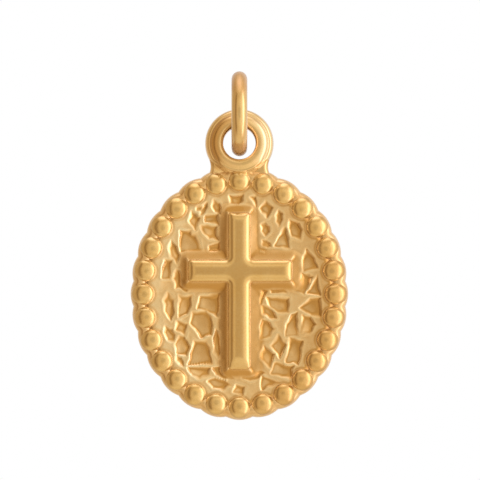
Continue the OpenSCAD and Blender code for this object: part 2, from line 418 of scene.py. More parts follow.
def line_distance(across, up, start, end):
    """Distance from points to a straight line between two places."""
    (ax, ay), (bx, by) = start, end
    ex, ey = bx - ax, by - ay
    along = np.clip(((across - ax) * ex + (up - ay) * ey) / (ex * ex + ey * ey), 0, 1)
    return np.hypot(across - ax - along * ex, up - ay - along * ey)


def outline_distance(across, up, corners):
    """Distance from points to a closed outline, less than nought inside it."""
    nearest = np.full(across.shape, np.inf)
    inside = np.zeros(across.shape, bool)
    for start, end in zip(corners, corners[1:] + corners[:1]):
        nearest = np.minimum(nearest, line_distance(across, up, start, end))
        (ax, ay), (bx, by) = start, end
        if ay != by:
            inside ^= ((ay > up) != (by > up)) & (across < ax + (up - ay) / (by - ay) * (bx - ax))
    return np.where(inside, -nearest, nearest)


def cross_distance(size, across, up):
    """Distance from points to the outline of the cross, rounded in its inner corners."""
    blend = 0.25
    upright = box_distance(across, up, size.cross_up, size.bar_width, size.cross_height)
    arms = box_distance(across - size.arms_across, up, size.arms_up, size.cross_width, size.bar_width)
    near = np.maximum(blend - abs(upright - arms), 0) / blend
    return np.minimum(upright, arms) - near * near * blend / 4


# Making a piece

def make_mesh(name, points, faces, hollow):
    """Smooth closed mesh of rows of points and faces, with the painted shade and painted highlight at each
    point.
    """
    mesh = bpy.data.meshes.new(name)
    mesh.from_pydata(np.asarray(points).tolist(), [], faces)
    mesh.validate()
    face_outwards(mesh)
    mesh.shade_smooth()
    layer = mesh.attributes.new("hollow", "FLOAT", "POINT")
    layer.data.foreach_set("value", np.asarray(hollow, np.float32).ravel())
    return mesh


def face_outwards(mesh, merge=False):
    """Turns a mesh's faces outwards, after its points in one place are merged if asked."""
    shape = bmesh.new()
    shape.from_mesh(mesh)
    if merge:
        bmesh.ops.remove_doubles(shape, verts=shape.verts, dist=1e-8)
    bmesh.ops.recalc_face_normals(shape, faces=shape.faces)
    shape.to_mesh(mesh)
    shape.free()


def loft(rings, joined):
    """Faces between rings of points, with a face at each end, or the last ring joined to the first."""
    count, around = len(rings), len(rings[0])
    faces = []
    for ring in range(count if joined else count - 1):
        a, b = ring * around, (ring + 1) % count * around
        for i in range(around):
            j = (i + 1) % around
            faces.append((a + i, a + j, b + j, b + i))
    if not joined:
        faces.append(tuple(range(around - 1, -1, -1)))
        faces.append(tuple(range((count - 1) * around, count * around)))
    return faces


def place_piece(name, mesh, material, body, nodes):
    """Object of a finished mesh, riding on its body in place of the plain solid."""
    old = bpy.data.objects.get(name)
    if old:
        bpy.data.objects.remove(old)
    piece = bpy.data.objects.new(name, mesh)
    bpy.context.scene.collection.objects.link(piece)
    if material.name not in [m.name for m in mesh.materials if m]:
        mesh.materials.clear()
        mesh.materials.append(material)
    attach(piece, body)
    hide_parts(*nodes)


def place_rings(context, size, name, rings, hollow, finish, joined=False):
    """Piece of the medal lofted through rings of points given across, up and above the flat back."""
    points = np.concatenate(rings)
    mesh = make_mesh(name, in_place(size, *points.T), loft(rings, joined), np.concatenate(hollow))
    place_piece(name, mesh, gold(context, finish), "medal", ["medal"])


# Building node trees

def add_node(tree, kind, inputs=None, **settings):
    """Node of a kind, with its settings made and its inputs set, or linked to a socket or a node."""
    node = tree.nodes.new(kind)
    for key, value in settings.items():
        setattr(node, key, value)
    for key, value in (inputs or {}).items():
        if isinstance(value, bpy.types.Node):
            value = value.outputs[0]
        if isinstance(value, bpy.types.NodeSocket):
            tree.links.new(value, node.inputs[key])
        else:
            node.inputs[key].default_value = value
    return node


def maths(tree, operation, *values, clamp=False):
    """Node that works out a number from others."""
    return add_node(tree, "ShaderNodeMath", dict(enumerate(values)), operation=operation, use_clamp=clamp)


def vector_maths(tree, operation, *values):
    """Node that works out a direction or a number from directions."""
    return add_node(tree, "ShaderNodeVectorMath", dict(enumerate(values)), operation=operation)


def combine(tree, **parts):
    """Direction put together from its X, Y and Z."""
    return add_node(tree, "ShaderNodeCombineXYZ", parts)


def separate(tree, direction):
    """X, Y and Z of a direction."""
    return add_node(tree, "ShaderNodeSeparateXYZ", {0: direction}).outputs


def circle(tree, points, radius):
    """Circle of so many points."""
    return add_node(tree, "GeometryNodeCurvePrimitiveCircle", {"Resolution": points, "Radius": radius})


def transform(tree, shape, **moves):
    """Shape after it is scaled, turned and moved."""
    return add_node(tree, "GeometryNodeTransform", {"Geometry": shape, **moves})


def between(tree, value, start, end, low=0.0, high=1.0, ease="LINEAR"):
    """Number that runs from low to high while a value runs from a start to an end."""
    span = {"Value": value, "From Min": start, "From Max": end, "To Min": low, "To Max": high}
    return add_node(tree, "ShaderNodeMapRange", span, interpolation_type=ease)


def noise(tree, place, scale, detail):
    """Soft clouds, so many to a unit of length."""
    return add_node(tree, "ShaderNodeTexNoise", {"Vector": place, "Scale": scale, "Detail": detail})


def mix_colour(tree, share, low, high):
    """Colour between two others."""
    return add_node(tree, "ShaderNodeMix", {0: share, 6: low, 7: high}, data_type="RGBA").outputs[2]


def clean_tree(data):
    """Emptied node tree of a material or a world."""
    data.use_nodes = True
    data.node_tree.nodes.clear()
    return data.node_tree


def new_tree(name, kind, inputs, outputs):
    """Node group with named sockets: the type and default of each input, and the type of each output."""
    tree = bpy.data.node_groups.new(name, kind)
    for label, (socket, *default) in inputs.items():
        made = tree.interface.new_socket(label, in_out="INPUT", socket_type="NodeSocket" + socket)
        if default:
            made.default_value = default[0]
    for label, socket in outputs.items():
        tree.interface.new_socket(label, in_out="OUTPUT", socket_type="NodeSocket" + socket)
    return tree, tree.nodes.new("NodeGroupInput").outputs, tree.nodes.new("NodeGroupOutput").inputs


def end_tree(tree, end, shape, hollow, material):
    """End of a geometry tree: painted shade of each point, smooth shading, plain geometry and the material.
    """
    marked = add_node(tree, "GeometryNodeStoreNamedAttribute",
                      {"Geometry": shape, "Name": "hollow", "Value": hollow}, domain="POINT")
    even = add_node(tree, "GeometryNodeSetShadeSmooth", {"Geometry": marked})
    real = add_node(tree, "GeometryNodeRealizeInstances", {"Geometry": even})
    dressed = add_node(tree, "GeometryNodeSetMaterial", {"Geometry": real, "Material": material})
    tree.links.new(dressed.outputs[0], end["Geometry"])
    return tree


def mesh_from_tree(name, tree, values):
    """Plain mesh of what a geometry tree makes from its named inputs."""
    start = bpy.data.objects.new(name + "_start", bpy.data.meshes.new(name + "_start"))
    bpy.context.scene.collection.objects.link(start)
    modifier = start.modifiers.new(name, "NODES")
    modifier.node_group = tree
    for item in tree.interface.items_tree:
        if item.in_out == "INPUT" and item.name in values:
            modifier[item.identifier] = values[item.name]
    bpy.context.view_layer.update()
    shape = start.evaluated_get(bpy.context.evaluated_depsgraph_get())
    mesh = bpy.data.meshes.new_from_object(shape)
    start.modifiers.remove(modifier)
    bpy.data.objects.remove(start)
    if not mesh.polygons:
        raise RuntimeError(f"the {name} tree made no faces")
    mesh.name = name
    return mesh


# Materials

def tone_group():
    """Colour of cast gold: two tones in soft clouds, with painted shade and painted highlight."""
    name = "Gold Tone"
    if name in bpy.data.node_groups:
        return bpy.data.node_groups[name]
    tree, given, end = new_tree(name, "ShaderNodeTree", {
        "Vector": ("Vector",),
        "Light Gold": ("Color", (0.93, 0.58, 0.2, 1)),
        "Deep Gold": ("Color", (0.85, 0.5, 0.16, 1)),
        "Painted Shade Gold": ("Color", (0.6, 0.3, 0.08, 1)),
        "Wear And Highlight Gold": ("Color", (1.0, 0.7, 0.4, 1)),
        "Hollow": ("Float", 0.0),
        "Cloud Scale": ("Float", 0.8),
        "Speck Scale": ("Float", 9.0),
    }, {"Color": "Color"})
    cloud = noise(tree, given["Vector"], given["Cloud Scale"], 3.0)
    speck = noise(tree, given["Vector"], given["Speck Scale"], 2.0)
    share = between(tree, maths(tree, "ADD", cloud, speck), 0.75, 1.25)
    tone = mix_colour(tree, share, given["Deep Gold"], given["Light Gold"])
    # Lighter where Hollow is below nought: painted highlight, and ridges rubbed bright
    worn = between(tree, given["Hollow"], -1.0, 0.0, 1.0, 0.0)
    tone = mix_colour(tree, worn, tone, given["Wear And Highlight Gold"])
    # Browner where Hollow is above nought: painted shade
    tone = mix_colour(tree, given["Hollow"], tone, given["Painted Shade Gold"])
    tree.links.new(tone, end["Color"])
    return tree


def surface_group():
    """Surface of worn gold: a fine grain, soft waves and hairline scratches, and where it is less glossy."""
    name = "Gold Surface"
    if name in bpy.data.node_groups:
        return bpy.data.node_groups[name]
    tree, given, end = new_tree(name, "ShaderNodeTree", {
        "Vector": ("Vector",),
        "Grain Scale": ("Float", 14.0),
        "Grain": ("Float", 0.4),
        "Wave Scale": ("Float", 1.4),
        "Wave": ("Float", 1.0),
        "Scratch": ("Float", 0.3),
    }, {"Height": "Float", "Dull": "Float"})
    place = given["Vector"]
    grain = maths(tree, "MULTIPLY", noise(tree, place, given["Grain Scale"], 2.0), given["Grain"])
    wave = maths(tree, "MULTIPLY", noise(tree, place, given["Wave Scale"], 1.0), given["Wave"])
    lines = []
    for turn, stretch in ((0.5, (26, 26, 1.2)), (-0.35, (1.4, 22, 30))):
        laid = add_node(tree, "ShaderNodeMapping",
                        {"Vector": place, "Rotation": (0, turn, 0), "Scale": stretch})
        lines.append(between(tree, noise(tree, laid, 0.8, 1.0), 0.62, 0.74))
    cut = maths(tree, "MULTIPLY", maths(tree, "MAXIMUM", *lines), given["Scratch"])
    height = maths(tree, "SUBTRACT", maths(tree, "ADD", grain, wave), cut)
    wear_and_sheen = between(tree, noise(tree, place, 3.2, 4.0), 0.3, 0.7)
    dull = maths(tree, "ADD", wear_and_sheen, cut, clamp=True)
    tree.links.new(height.outputs[0], end["Height"])
    tree.links.new(dull.outputs[0], end["Dull"])
    return tree


def gold(context, name):
    """Material of one finish of the gold."""
    if name in bpy.data.materials:
        return bpy.data.materials[name]
    light, deep, glossy, rough, *wear, bump, coat, dulled = GOLDS[name]
    tones = {"Light Gold": light, "Deep Gold": deep, "Painted Shade Gold": "painted_shade_gold", "Wear And Highlight Gold": "wear_and_highlight_gold"}
    tones = {label: (*getattr(context.scene.charm_colours, key), 1) for label, key in tones.items()}
    material = bpy.data.materials.new(name)
    tree = clean_tree(material)
    where = add_node(tree, "ShaderNodeTexCoord").outputs["Object"]
    place = add_node(tree, "ShaderNodeMapping", {"Vector": where, "Scale": (1 / MM, 1 / MM, 1 / MM)})
    # Painted shade above nought and painted highlight below nought, stored on each mesh as hollow
    hollow = add_node(tree, "ShaderNodeAttribute", attribute_name="hollow").outputs["Fac"]
    tone = add_node(tree, "ShaderNodeGroup",
                    {"Vector": place, "Hollow": hollow, **tones}, node_tree=tone_group())
    surface = add_node(tree, "ShaderNodeGroup",
                       {"Vector": place, **dict(zip(WEAR, wear))}, node_tree=surface_group())
    gloss = between(tree, surface.outputs["Dull"], 0.0, 1.0, glossy, rough)
    # Rougher where the painted shade is stronger
    gloss = maths(tree, "MULTIPLY_ADD", hollow, dulled, gloss, clamp=True)
    relief = add_node(tree, "ShaderNodeBump",
                      {"Height": surface.outputs["Height"], "Strength": 1.0, "Distance": bump * MM})
    path = add_node(tree, "ShaderNodeLightPath")
    shader = add_node(tree, "ShaderNodeBsdfPrincipled", {
        "Base Color": mix_colour(tree, path.outputs["Is Glossy Ray"], tone, (*TWICE_REFLECTED, 1)),
        "Metallic": 1.0,
        "Roughness": gloss,
        "Normal": relief,
        "Coat Weight": coat,
        "Coat Roughness": 0.2,
    })
    add_node(tree, "ShaderNodeOutputMaterial", {"Surface": shader}, is_active_output=True)
    return material


# Pieces

def punch_marks(across, up):
    """Punch marks at each point: how deep, their painted shade and the painted shade along their creases,
    their raised lips and sloping floors.
    """
    pit, shade, crease_shade, lip, floor = (np.zeros_like(across) for _ in range(5))
    bent_across = across + MARK_BEND * ripple(across, up, 0.32, 11)
    bent_up = up + MARK_BEND * ripple(across, up, 0.32, 12)
    leans = np.random.default_rng(21).uniform(-FLOOR_LEAN, FLOOR_LEAN, (len(MARKS), 2))
    for (mark_across, mark_up, long, wide, turn, punch), lean in zip(MARKS, leans):
        near = (abs(across - mark_across) < MARK_REACH) & (abs(up - mark_up) < MARK_REACH)
        x, y = bent_across[near] - mark_across, bent_up[near] - mark_up
        c, s = math.cos(math.radians(turn)), math.sin(math.radians(turn))
        corners = [(px * long, py * wide) for px, py in PUNCHES[punch]]
        away = outline_distance(x * c + y * s, y * c - x * s, corners)
        deep = smooth(0.5 + (0.8 * x + 0.6 * y) / math.hypot(long, wide))
        spread = STEEP_WALL + SOFTER_WALL * deep
        wall = smooth((WALL_START - away) / spread)
        pit[near] = np.maximum(pit[near], wall * (0.32 + 0.95 * deep))
        # Painted shade over the deeper upper right of each mark and along the foot of its wall
        shade[near] = np.maximum(shade[near], wall * deep)
        crease_shade[near] = np.maximum(crease_shade[near], hump(away + spread, STEEP_WALL, 0.05))
        floor[near] += wall * (lean[0] * x + lean[1] * y)
        lip[near] = np.maximum(lip[near], (1.4 - deep) * hump(away, 0.13, 0.06))
    return pit, shade, crease_shade, lip, floor


def field_shape(size, across, up):
    """Height of the field above the flat back, and the painted shade and painted highlight at each point."""
    edge = np.hypot(across / size.oval_width, up / size.oval_height) * 2
    rise = (0.45 * size.oval_width) ** 2 / (2 * size.dish_radius)
    ground = size.field_height + rise * np.minimum(edge / 0.9, 1.02) ** 4
    ground += 0.014 * ripple(across, up, 0.60, 3) + 0.007 * ripple(across, up, 0.25, 8)

    # Skirt round the cross: a full ramp on its left, a lower ledge on its right
    out = cross_distance(size, across, up)
    step = across[0, 1] - across[0, 0]
    rightward, upward = np.gradient(out, step, axis=1), np.gradient(out, step, axis=0)
    shelf, reach = smooth(rightward), size.skirt_reach
    ramp = np.clip(1 - out / (reach + 0.06), 0, 1)
    ledge = np.clip(1 - out / (reach + 0.20 - 0.34 * smooth(up - 2)), 0, 1)
    skirt = (1 - shelf) * ramp + shelf * LEDGE * ledge
    skirt += LEFT_RISE * smooth(-rightward) * np.exp(-np.maximum(out, 0) / 0.07)
    clear = 1 - smooth(skirt * 3)

    # Punch marks, which run out on the skirt, and the burrs between them
    pit, shade, crease_shade, lip, floor = punch_marks(across, up)
    pit *= clear
    shade *= 0.4 + 0.6 * clear
    crease_shade *= clear
    lip *= clear * (0.7 + 0.3 * ripple(across, up, 0.3, 5)) * (1 - smooth(pit / 0.5))
    height = ground - 0.55 * size.punch_depth * pit + floor * clear + LIP_HEIGHT * lip
    for from_across, from_up, to_across, to_up, count in BURRS:
        for share in (np.arange(count) + 0.5) / count:
            x = across - from_across - share * (to_across - from_across)
            y = up - from_up - share * (to_up - from_up)
            height += BURR_HEIGHT * hump(x, 0, 0.045) * hump(y, 0, 0.07)
    height = soften(height * (1 - skirt) + size.skirt_height * skirt, 1)
    sunk = (soften(height, 30) - height) / 0.035
    height -= 0.10 * climb(edge, 0.945, 0.05)

    # Painted shade in the hollows and lighter on the ridges, painted shade on the deep side of each mark,
    # along its crease and at the foot of the beads
    hollow = 0.75 * np.clip(sunk, -1, 1) + 0.95 * shade + 0.5 * crease_shade + 0.1 * pit
    beads, _ = oval_run(size, size.bead_count)
    from_bead = np.min([np.hypot(across - x, up - y) for x, y in beads], axis=0)
    hollow += 0.7 * hump(from_bead, 0.70, 0.07) + 0.3 * climb(edge, 0.92, 0.03)

    # Painted shade along the right of the rim, painted highlight along its left
    hollow += 0.3 * climb(edge, 0.6, 0.25) * climb(across, 2, 3)
    hollow -= 0.4 * climb(edge, 0.76, 0.12) * climb(-across, 0.5, 3)
    hollow += skirt_shade(size, across, up, out, rightward, upward)
    return height, np.clip(hollow, -1, 1)


def skirt_shade(size, across, up, out, rightward, upward):
    """Painted shade on the skirt of the cross and the field close round it, with a painted highlight over its
    top.
    """
    high, shelf = smooth(up - 2), smooth(rightward)
    # Painted shade over the skirt, strongest under the arms, and a band of it beyond the ledge right of the
    # lower bar
    tone = 0.7 - 0.1 * high + 0.05 * shelf + 0.3 * smooth(-upward) + 0.15 * high * smooth(upward)
    brown = tone * smooth((size.skirt_reach + 0.12 - out) / 0.36)
    brown += 0.8 * shelf * hump(out, 0.62, 0.16) * smooth(1.2 - up)

    # Painted shade in the corners between the bars
    beside = abs(across) - size.bar_width / 2
    above = abs(up - size.arms_up) - size.bar_width / 2
    brown += 0.6 * hump(beside, 0.75, 0.3) * hump(above, 0.7, 0.3)

    # Painted shade in an arch over the top of the cross, with a painted highlight along it
    over_top = up - size.cross_up - size.cross_height / 2
    bow = out + 0.25 * across**2
    arch = smooth((0.42 - bow) / 0.12) * (0.55 - 0.5 * climb(across, -0.1, 0.5)) - 0.5 * hump(bow, 0.50, 0.06)
    return brown + arch * smooth(over_top / 0.1)


class CHARM_OT_field(bpy.types.Operator):
    """Dished field of the medal, with its punch marks and the skirt round the cross"""

    bl_idname = "charm.field"
    bl_label = "Field"

    def execute(self, context):
        size = in_mm(context)
        wide, high = size.oval_width / 2 - FIELD_INSET, size.oval_height / 2 - FIELD_INSET
        columns, rows = int(wide / FIELD_STEP) + 1, int(high / FIELD_STEP) + 1
        across, up = np.meshgrid(np.arange(-columns, columns + 1) * FIELD_STEP,
                                 np.arange(-rows, rows + 1) * FIELD_STEP)
        height, hollow = field_shape(size, across, up)

        # Squares of the grid that lie inside the oval
        inside = (across / wide) ** 2 + (up / high) ** 2 < 1
        quad = inside[:-1, :-1] & inside[1:, :-1] & inside[:-1, 1:] & inside[1:, 1:]
        used = np.zeros_like(inside)
        for i, j in ((0, 0), (1, 0), (0, 1), (1, 1)):
            used[i:i + quad.shape[0], j:j + quad.shape[1]] |= quad
        index = np.full(across.shape, -1)
        index[used] = np.arange(used.sum())
        corner = [index[:-1, :-1], index[:-1, 1:], index[1:, 1:], index[1:, :-1]]
        faces = np.stack([c[quad] for c in corner], axis=-1).tolist()
        top = np.c_[across[used], up[used], height[used]]

        # Wall down from the rim of the grid, and its foot
        edges = [(face[k], face[(k + 1) % 4]) for k in range(4) for face in faces]
        known = set(edges)
        rim = [(a, b) for a, b in edges if (b, a) not in known]
        ends = sorted({a for a, b in rim})
        below = {a: len(top) + i for i, a in enumerate(ends)}
        centre = len(top) + len(ends)
        foot = top[ends].copy()
        foot[:, 2] = FIELD_FOOT
        points = np.concatenate([top, foot, [(0, 0, FIELD_FOOT)]])
        for a, b in rim:
            faces.append((b, a, below[a], below[b]))
            faces.append((below[b], below[a], centre))
        # Painted shade and painted highlight of the field's top; none on its wall and foot
        depth = np.concatenate([hollow[used], np.zeros(len(foot) + 1)])
        mesh = make_mesh("medal_field", in_place(size, *points.T), faces, depth)
        place_piece("medal_field", mesh, gold(context, "Satin Gold"), "medal", ["medal"])
        return {"FINISHED"}


def cross_ring(size, inset):
    """Outline of the cross drawn in by an inset, with its corners rounded, anticlockwise."""
    bar, arm = size.bar_width / 2, size.cross_width / 2
    left, right = size.arms_across - arm, size.arms_across + arm
    top = size.cross_up + size.cross_height / 2
    low = size.cross_up - size.cross_height / 2
    over, under = size.arms_up + bar, size.arms_up - bar
    corners = [(bar, top), (-bar, top), (-bar, over), (left, over), (left, under), (-bar, under),
               (-bar, low), (bar, low), (bar, under), (right, under), (right, over), (bar, over)]
    lower_end = (corners.index((-bar, low)), corners.index((bar, low)))
    ring = []
    for k, here in enumerate(corners):
        here = np.array(here)
        before, after = here - corners[k - 1], np.array(corners[(k + 1) % len(corners)]) - here
        first = np.array([-before[1], before[0]]) / np.hypot(*before)
        second = np.array([-after[1], after[0]]) / np.hypot(*after)
        convex = before[0] * after[1] - before[1] * after[0] > 0
        radius = max(OUTER_CORNER - 0.25 * inset, 0.05) if convex else INNER_CORNER + inset
        side = 1 if convex else -1
        middle = here + (inset + side * radius) * (first + second)
        for turn in np.arange(CORNER_STEPS + 1) * math.pi / 2 / CORNER_STEPS:
            ring.append(middle - side * radius * (first * math.cos(turn) + second * math.sin(turn)))
            if k in lower_end:
                ring[-1][1] += 0.8 * min(inset, 0.35)
    return np.array(ring)


class CHARM_OT_cross(bpy.types.Operator):
    """Raised cross with rounded edges"""

    bl_idname = "charm.cross"
    bl_label = "Cross"

    def execute(self, context):
        size = in_mm(context)
        rings, hollow = [], []
        for inset, height in CROSS_EDGE:
            ring = cross_ring(size, inset)
            rings.append(np.c_[ring, np.full(len(ring), height)])
            # Painted shade along the foot of the cross, and darker over the middle of its top face
            brown = 0.5 * hump(inset, 0, 0.05) + 0.3 * climb(inset, 0.35, 0.2)
            hollow.append(np.full(len(ring), brown))
        place_rings(context, size, "medal_cross", rings, hollow, "Polished Gold")
        return {"FINISHED"}


class CHARM_OT_flange(bpy.types.Operator):
    """Scalloped flange under the beads, with the flat back"""

    bl_idname = "charm.flange"
    bl_label = "Flange"

    def execute(self, context):
        size = in_mm(context)
        count, half = size.bead_count * SCALLOP_POINTS, SCALLOP_POINTS // 2
        line, out = oval_run(size, count)
        swing = 1 - 2 * (((np.arange(count) + half) % SCALLOP_POINTS - half) / half) ** 2
        rings, hollow = [], []
        for reach, scallop, height, drop in FLANGE:
            edge = line + out * (reach + scallop * swing)[:, None]
            rings.append(np.c_[edge, height - drop * (1 - swing) / 2])
            # Painted shade where the beads sit on the flange and in the gaps between them
            seat = max(0.0, 1 - abs(reach - 0.45) / 0.25) if height > 0.9 else 0.0
            gap_shade = 0.3 if height > 1 and reach < 0.5 else 0.0
            hollow.append(0.25 * seat + gap_shade * (1 - swing) / 2)
        place_rings(context, size, "medal_flange", rings, hollow, "Satin Gold")
        return {"FINISHED"}


def bead_tree():
    """Geometry tree: beads the same length apart round an oval, each a little uneven."""
    tree, given, end = new_tree("Bead Rim", "GeometryNodeTree", {
        "Geometry": ("Geometry",),
        "Count": ("Int", 28),
        "Oval Width": ("Float", 0.0113),
        "Oval Height": ("Float", 0.0134),
        "Bead Width": ("Float", 0.0012),
        "Fullness": ("Float", 0.69),
        "Seat Y": ("Float", 0.0),
        "Middle Z": ("Float", 0.0),
        "Unevenness": ("Float", 0.00002),
        "Lean": ("Float", 0.0012),
        "Seed": ("Int", 4),
        "Material": ("Material",),
    }, {"Geometry": "Geometry"})
    quarter = math.pi / 2

    # Oval through the middles of the beads, from its top, and a bead at each of its places
    from_top = transform(tree, circle(tree, 720, 0.5), Rotation=(0, 0, quarter))
    reach = combine(tree, X=given["Oval Width"], Y=given["Oval Height"], Z=1.0)
    seat = combine(tree, Y=given["Seat Y"], Z=given["Middle Z"])
    oval = transform(tree, from_top, Translation=seat, Rotation=(quarter, 0, 0), Scale=reach)
    places = add_node(tree, "GeometryNodeResampleCurve", {"Curve": oval, "Count": given["Count"]})
    radius = maths(tree, "MULTIPLY", given["Bead Width"], 0.5)
    ball = add_node(tree, "GeometryNodeMeshUVSphere", {"Segments": 44, "Rings": 26, "Radius": radius})
    full = combine(tree, X=1.0, Y=1.0, Z=given["Fullness"])
    bead = transform(tree, ball, Rotation=(quarter, 0, 0), Scale=full)
    uneven = add_node(tree, "FunctionNodeRandomValue", {
        0: (0.98, 0.98, 0.98), 1: (1.01, 1.02, 1.01), "Seed": given["Seed"]}, data_type="FLOAT_VECTOR")
    beads = add_node(tree, "GeometryNodeInstanceOnPoints",
                     {"Points": places, "Instance": bead, "Scale": uneven})
    real = add_node(tree, "GeometryNodeRealizeInstances", {"Geometry": beads})

    # Small unevenness of the surface, and a lean backwards beyond the oval
    position = add_node(tree, "GeometryNodeInputPosition")
    clouds = noise(tree, position, 1100.0, 1.0).outputs["Color"]
    centred = vector_maths(tree, "SUBTRACT", clouds, (0.5, 0.5, 0.5))
    push = vector_maths(tree, "MULTIPLY", centred, given["Unevenness"])
    from_middle = vector_maths(tree, "SUBTRACT", position, seat)
    flat = combine(tree, X=given["Oval Width"], Y=1.0, Z=given["Oval Height"])
    share = vector_maths(tree, "DIVIDE", from_middle, flat)
    in_plane = vector_maths(tree, "MULTIPLY", share, (1.0, 0.0, 1.0))
    beyond = maths(tree, "SUBTRACT", vector_maths(tree, "LENGTH", in_plane).outputs["Value"], 0.5)
    lean = combine(tree, Y=maths(tree, "MULTIPLY", beyond, given["Lean"]))
    moved = vector_maths(tree, "ADD", push, lean)
    pushed = add_node(tree, "GeometryNodeSetPosition", {"Geometry": real, "Offset": moved})

    # Painted shade at the foot of each bead and on the beads at the right
    depth = maths(tree, "SUBTRACT", separate(tree, position)["Y"], given["Seat Y"])
    foot = between(tree, depth, -0.00018, -0.00010, 0.0, 0.35, "SMOOTHSTEP")
    rightward = vector_maths(tree, "DOT_PRODUCT", from_middle, (1.0, 0.0, -0.4)).outputs["Value"]
    side = between(tree, rightward, 0.0020, 0.0055, 0.0, 0.45, "SMOOTHSTEP")
    return end_tree(tree, end, pushed, maths(tree, "ADD", foot, side), given["Material"])


class CHARM_OT_beads(bpy.types.Operator):
    """Beads along the rim"""

    bl_idname = "charm.beads"
    bl_label = "Beads"

    def execute(self, context):
        size = in_mm(context)
        material = gold(context, "Bead Gold")
        mesh = mesh_from_tree("medal_beads", bead_tree(), {
            "Count": size.bead_count,
            "Oval Width": (size.oval_width + BEADS_WIDER) * MM,
            "Oval Height": (size.oval_height + BEADS_HIGHER) * MM,
            "Bead Width": size.bead_width * MM,
            "Seat Y": (size.back_y - size.bead_seat) * MM,
            "Middle Z": size.oval_z * MM,
            "Material": material,
        })
        place_piece("medal_beads", mesh, material, "medal", ["medal"])
        return {"FINISHED"}


class CHARM_OT_eyelet(bpy.types.Operator):
    """Half-round eyelet on its flared edge"""

    bl_idname = "charm.eyelet"
    bl_label = "Eyelet"

    def execute(self, context):
        size = in_mm(context)
        hole, turns = size.hole_width / 2, 240
        turn = np.arange(turns) * 2 * math.pi / turns
        left, low = 0.5 - 0.5 * np.sin(turn), climb(-np.cos(turn), 0.45, 0.45)
        *crack_ends, crack_width = EYE_CRACK
        rings, hollow = [], []
        for r, t in self.section(hole):
            across, up = r * np.sin(turn), r * np.cos(turn)
            front = t > 0.9
            bank = low * hump(r, 1.73, 0.11) * (front and r > 1.5)
            crack = front * hump(line_distance(across, up, *crack_ends), 0, crack_width)
            rings.append(np.c_[across, size.eye_up + up, t + 0.17 * bank - 0.03 * crack])

            # Painted shade in the fold and on the left of the rounded front, painted highlight on its right,
            # and painted shade inside the hole and along the crack
            fold_shade = hump(r, 1.69, 0.07) * (0.05 + 0.9 * left**2)
            left_shade = 0.8 * left**2 * climb(r, 1.16, 0.15) * climb(t, 1.06, 0.08)
            wear_and_sheen = (1 - left) ** 2 * (0.5 * climb(r, 1.2, 0.2) - 0.5 * hump(r, 1.06, 0.1))
            tone = (fold_shade + left_shade - wear_and_sheen) * (1 - low) + 0.5 * (r < hole + 0.01) + 1.3 * crack
            hollow.append(np.clip(tone, -1, 1))
        place_rings(context, size, "medal_eyelet", rings, hollow, "Eyelet Gold", joined=True)
        return {"FINISHED"}

    def section(self, hole):
        """Section of the eyelet from its back through its hole and over its rounded front to its edge."""
        crest, top = EYE_CREST
        points = [(hole + 0.03, 0.15), (hole, 0.19), (hole, 0.5), (hole, 0.85), (hole, 1.05)]
        for degrees in 145 - 7.5 * np.arange(19):
            turn = math.radians(degrees)
            wide, high = EYE_INNER_CURVE if degrees > 90 else EYE_OUTER_CURVE
            points.append((crest + wide * math.cos(turn), top - high * (1 - math.sin(turn))))
        return points + EYE_EDGE


class CHARM_OT_neck(bpy.types.Operator):
    """Neck between the eyelet and the medal, hollowed on each side"""

    bl_idname = "charm.neck"
    bl_label = "Neck"

    def execute(self, context):
        size = in_mm(context)
        eye, curve = size.eye_width / 2, size.neck_hollow
        side = size.neck_width / 2 + curve
        middle = size.eye_up - math.sqrt((eye + curve) ** 2 - side**2)
        under_hole = size.eye_up - size.hole_width / 2 - 0.03
        heights = np.linspace(under_hole, middle - curve + 0.005, 36)
        halves = side - np.sqrt(np.maximum(curve**2 - (heights - middle) ** 2, 0))
        rings = [self.section(up, half) for up, half in zip(heights, halves)]
        rings = np.array(rings + [self.section(up, side) for up in NECK_FOOT])
        across, up, height = np.moveaxis(rings, -1, 0)
        lump = ripple(across, up, 0.42, 31) * climb(height, 0.8, 0.1)
        rings[..., 2] += 0.05 * lump
        # Painted shade where the neck meets the eyelet, with less on the lumps
        under_eye = hump(np.hypot(across, up - size.eye_up), eye, 0.12)
        hollow = np.clip(0.5 * under_eye - 0.8 * lump, 0, 1)
        place_rings(context, size, "medal_neck", rings, hollow, "Eyelet Gold")
        return {"FINISHED"}

    def section(self, up, half):
        """Ring of points round the neck at one height: rounded front corners, flat back."""
        front, wide, high = NECK_FRONT
        ring = [(-half, 0.21), (-half, 0.5)]
        for turn in np.radians(180 - 90 * np.arange(9) / 8):
            ring.append((wide - half + wide * math.cos(turn), front - high + high * math.sin(turn)))
        ring += [(x * (half - wide), front - 0.03 * (1 - x * x)) for x in np.linspace(-0.95, 0.95, 31)]
        for turn in np.radians(90 - 90 * np.arange(9) / 8):
            ring.append((half - wide + wide * math.cos(turn), front - high + high * math.sin(turn)))
        ring += [(half, 0.5), (half, 0.21), (half - 0.04, 0.17), (0.04 - half, 0.17)]
        return [(x, up, height) for x, height in ring]


